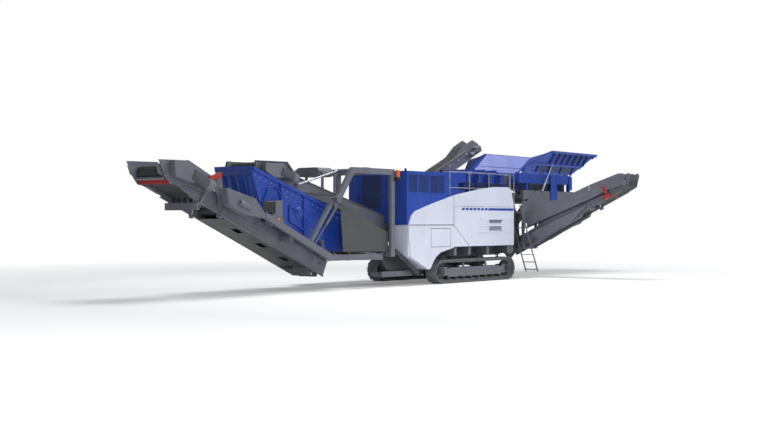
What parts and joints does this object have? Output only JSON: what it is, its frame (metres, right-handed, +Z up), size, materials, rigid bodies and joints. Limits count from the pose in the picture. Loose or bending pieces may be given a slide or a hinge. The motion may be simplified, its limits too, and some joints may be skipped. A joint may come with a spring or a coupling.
{
  "type": "tracked mobile crusher",
  "caption": "Tracked mobile impact crusher with a feed hopper, walkway, secondary screen unit and folding discharge conveyors.",
  "frame": {"origin": "on the ground, in the middle of the machine's box", "axes": "+X towards the feed hopper, -Y the service side with the walkway, +Z up"},
  "size_m": [22.6122, 7.6872, 5.3754],
  "materials": {
    "blue_paint": "royal blue enamel, semi gloss",
    "white_paint": "off white enamel with a blue stripe, semi gloss",
    "grey_paint": "mid grey enamel, satin",
    "dark_paint": "dark grey enamel, satin",
    "track_steel": "worn rolled steel",
    "bare_steel": "worn bright steel",
    "rubber": "matt conveyor rubber",
    "lamp_plastic": "orange lens"
  },
  "bodies": {
    "machine": {"track_near": "track_steel", "track_far": "track_steel", "running_gear_near": "dark_paint", "running_gear_far": "dark_paint", "track_frame_near": "grey_paint", "track_frame_far": "grey_paint", "main_frame": "grey_paint", "power_pack_housing": "blue_paint", "cooling_grilles": "dark_paint", "engine_block": "dark_paint", "bonnet_panel": "white_paint", "apron_panel": "white_paint", "panel_posts": "grey_paint", "tank": "white_paint", "crusher_housing": "blue_paint", "crusher_drive": "grey_paint", "walkway": "grey_paint", "railing": "grey_paint", "ladder_upper": "grey_paint", "feeder": "grey_paint", "hopper_frame": "blue_paint", "hopper_hinges": "grey_paint", "main_conveyor": "grey_paint", "main_belt": "rubber", "fines_conveyor": "grey_paint", "fines_belt": "rubber", "side_conveyor": "grey_paint", "side_belt": "rubber", "magnet": "grey_paint", "screen_box": "blue_paint", "screen_decks": "bare_steel", "screen_support": "grey_paint", "portal_frame": "grey_paint", "tie_rods": "bare_steel", "screen_struts": "grey_paint", "side_guard": "grey_paint", "cross_conveyor": "grey_paint", "cross_belt": "rubber", "cross_stand": "grey_paint", "side_mount": "grey_paint", "return_cradle": "grey_paint", "beacon": "lamp_plastic"},
    "hopper_near": {"hopper_wall_near": "blue_paint"},
    "hopper_far": {"hopper_wall_far": "blue_paint"},
    "hopper_rear": {"hopper_wall_rear": "blue_paint"},
    "fines_tip": {"fines_head": "grey_paint", "fines_head_belt": "rubber"},
    "side_tip": {"side_head": "grey_paint", "side_head_belt": "rubber"},
    "return_arm": {"return_conveyor": "grey_paint", "return_belt": "rubber"},
    "lower_steps": {"ladder_lower": "grey_paint"},
    "flap": {"service_flap": "white_paint"},
    "hatch": {"hatch_door": "white_paint"}
  },
  "joints": [
    {"name": "hopper_near_fold", "type": "hinge", "parent": "machine", "child": "hopper_near", "pos_m": [7.65838, 0.57959, 4.04], "axis": [-1, 0, 0], "range_deg": [0, 88]},
    {"name": "hopper_far_fold", "type": "hinge", "parent": "machine", "child": "hopper_far", "pos_m": [7.65838, 3.17959, 4.04], "axis": [1, 0, 0], "range_deg": [0, 88]},
    {"name": "hopper_rear_fold", "type": "hinge", "parent": "machine", "child": "hopper_rear", "pos_m": [9.64338, 1.87959, 4.04], "axis": [0, 1, 0], "range_deg": [0, 39.6]},
    {"name": "fines_head_fold", "type": "hinge", "parent": "machine", "child": "fines_tip", "pos_m": [-8.9992, 1.87959, 2.28489], "axis": [0, -1, 0], "range_deg": [0, 80]},
    {"name": "side_head_fold", "type": "hinge", "parent": "machine", "child": "side_tip", "pos_m": [6.57338, -2.31292, 2.62573], "axis": [1, 0, 0], "range_deg": [0, 100]},
    {"name": "return_slew", "type": "hinge", "parent": "machine", "child": "return_arm", "pos_m": [-3.02662, 3.52959, 0.36], "axis": [0, 0, 1], "range_deg": [0, 40]},
    {"name": "ladder_fold", "type": "hinge", "parent": "machine", "child": "lower_steps", "pos_m": [5.90638, 0.40459, 1.06], "axis": [0, 1, 0], "range_deg": [0, 110]},
    {"name": "service_flap_hinge", "type": "hinge", "parent": "machine", "child": "flap", "pos_m": [2.99838, 0.27759, 2.69], "axis": [-1, 0, 0], "range_deg": [0, 85]},
    {"name": "hatch_hinge", "type": "hinge", "parent": "machine", "child": "hatch", "pos_m": [-0.22662, 0.27759, 1.6], "axis": [0, 0, -1], "range_deg": [0, 110]}
  ],
  "couplings": [
    {"joint": "hopper_far_fold", "follows": "hopper_near_fold", "ratio": 1},
    {"joint": "hopper_rear_fold", "follows": "hopper_near_fold", "ratio": 0.45}
  ]
}
